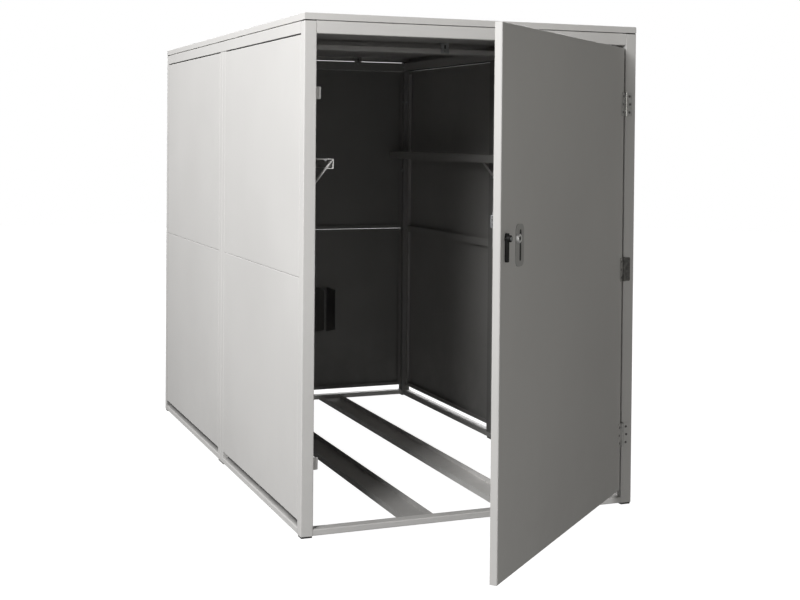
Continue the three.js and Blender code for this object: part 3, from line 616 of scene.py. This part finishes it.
forward = Vector((-math.sin(YAW) * math.cos(PITCH), math.cos(YAW) * math.cos(PITCH), -math.sin(PITCH)))
level = Vector((math.cos(YAW), math.sin(YAW), 0))
upright = level.cross(forward)
right = level * math.cos(ROLL) + upright * math.sin(ROLL)
up = -level * math.sin(ROLL) + upright * math.cos(ROLL)
camera = bpy.data.objects.new("camera", bpy.data.cameras.new("camera"))
bpy.context.scene.collection.objects.link(camera)
camera.data.sensor_width = SENSOR
camera.data.lens = SENSOR * FOCAL / PHOTO_WIDTH
camera.data.shift_x = (PHOTO_WIDTH / 2 - PRINCIPAL_X) / PHOTO_WIDTH
camera.data.shift_y = (PRINCIPAL_Y - PHOTO_HEIGHT / 2) / PHOTO_WIDTH
camera.matrix_world = Matrix.Translation(CAMERA_PLACE) @ Matrix((right, up, -forward)).transposed().to_4x4()
camera.data.clip_end = CLIP_END
bpy.context.scene.camera = camera

FLOOR_RADII = (14.0, 6.0, 3.0)
FLOOR_SIDES = 96


def floor_disc():
    """A pale floor that neither shades nor lights the object."""
    points = [point for radius in FLOOR_RADII for point in circle(radius, 0.0, FLOOR_SIDES)] + [(0, 0, 0)]
    middle = len(points) - 1
    inner = middle - FLOOR_SIDES
    faces = bands(len(FLOOR_RADII), FLOOR_SIDES)
    faces += [(inner + k, inner + (k + 1) % FLOOR_SIDES, middle) for k in range(FLOOR_SIDES)]
    graph = Graph("pale_floor")
    graph.set("Roughness", 0.9)
    graph.set("Specular IOR Level", 0.1)
    graph.set("Base Color", (0.12, 0.12, 0.12, 1))
    graph.set("Emission Strength", 1.0)
    graph.set("Emission Color", (1, 1, 1, 1))
    floor = new_piece("floor", points, faces, graph.material)
    floor.visible_diffuse = False
    floor.visible_glossy = False
    floor.visible_shadow = False


floor_disc()

WHITE = (1, 1, 1)
WARM = (1.0, 0.98, 0.91)


# Soft studio light: a key from the left front and a lamp high on the left, weak ones from the front, from the
# right, from below and from above, and one behind the object
def area_light(name, place, aim, size, power, colour=WHITE):
    """A square lamp of a size in metres and a power in watts, aimed at a point and hidden from the camera."""
    data = bpy.data.lights.new(name, "AREA")
    data.shape = "RECTANGLE"
    data.size = data.size_y = size
    data.energy = power
    data.color = colour
    light = bpy.data.objects.new(name, data)
    bpy.context.scene.collection.objects.link(light)
    light.location = place
    light.rotation_mode = "QUATERNION"
    light.rotation_quaternion = (Vector(aim) - Vector(place)).to_track_quat("-Z", "Y")
    light.visible_camera = False


area_light("key", place=(-3.16, -3.06, 2.8), aim=(0.0, -0.2, 0.9), size=1.4, power=165)
area_light("side", place=(-4.83, 1.29, 3.8), aim=(0.0, 0.2, 0.9), size=1.8, power=265)
area_light("fill", place=(1.68, -6.28, 1.6), aim=(0.0, -0.2, 0.9), size=2.5, power=35, colour=WARM)
area_light("right", place=(6.4, -1.13, 1.6), aim=(0.0, -0.2, 0.9), size=2.5, power=21, colour=WARM)
area_light("low", place=(-0.5, -3.5, -0.4), aim=(-0.2, -0.6, 1.2), size=3.0, power=16)
area_light("top", place=(-0.3, -0.6, 6.0), aim=(0.0, 0.2, 1.6), size=3.0, power=20)
area_light("rear", place=(3.0, 5.2, 3.2), aim=(0.3, 0.6, 1.0), size=3.0, power=220)

# A white background for the camera, and a faint even light for everything else
WORLD_LIGHT = 0.05
world = bpy.data.worlds.new("white_studio")
bpy.context.scene.world = world
world.use_nodes = True
tree = world.node_tree
lit = tree.nodes["Background"]
seen = tree.nodes.new("ShaderNodeBackground")
for background, strength in ((lit, WORLD_LIGHT), (seen, 1.0)):
    background.inputs["Color"].default_value = (*WHITE, 1)
    background.inputs["Strength"].default_value = strength
ray = tree.nodes.new("ShaderNodeLightPath")
blend = tree.nodes.new("ShaderNodeMixShader")
tree.links.new(ray.outputs["Is Camera Ray"], blend.inputs["Fac"])
tree.links.new(lit.outputs["Background"], blend.inputs[1])
tree.links.new(seen.outputs["Background"], blend.inputs[2])
tree.links.new(blend.outputs["Shader"], tree.nodes["World Output"].inputs["Surface"])
bpy.context.scene.view_settings.view_transform = "Standard"
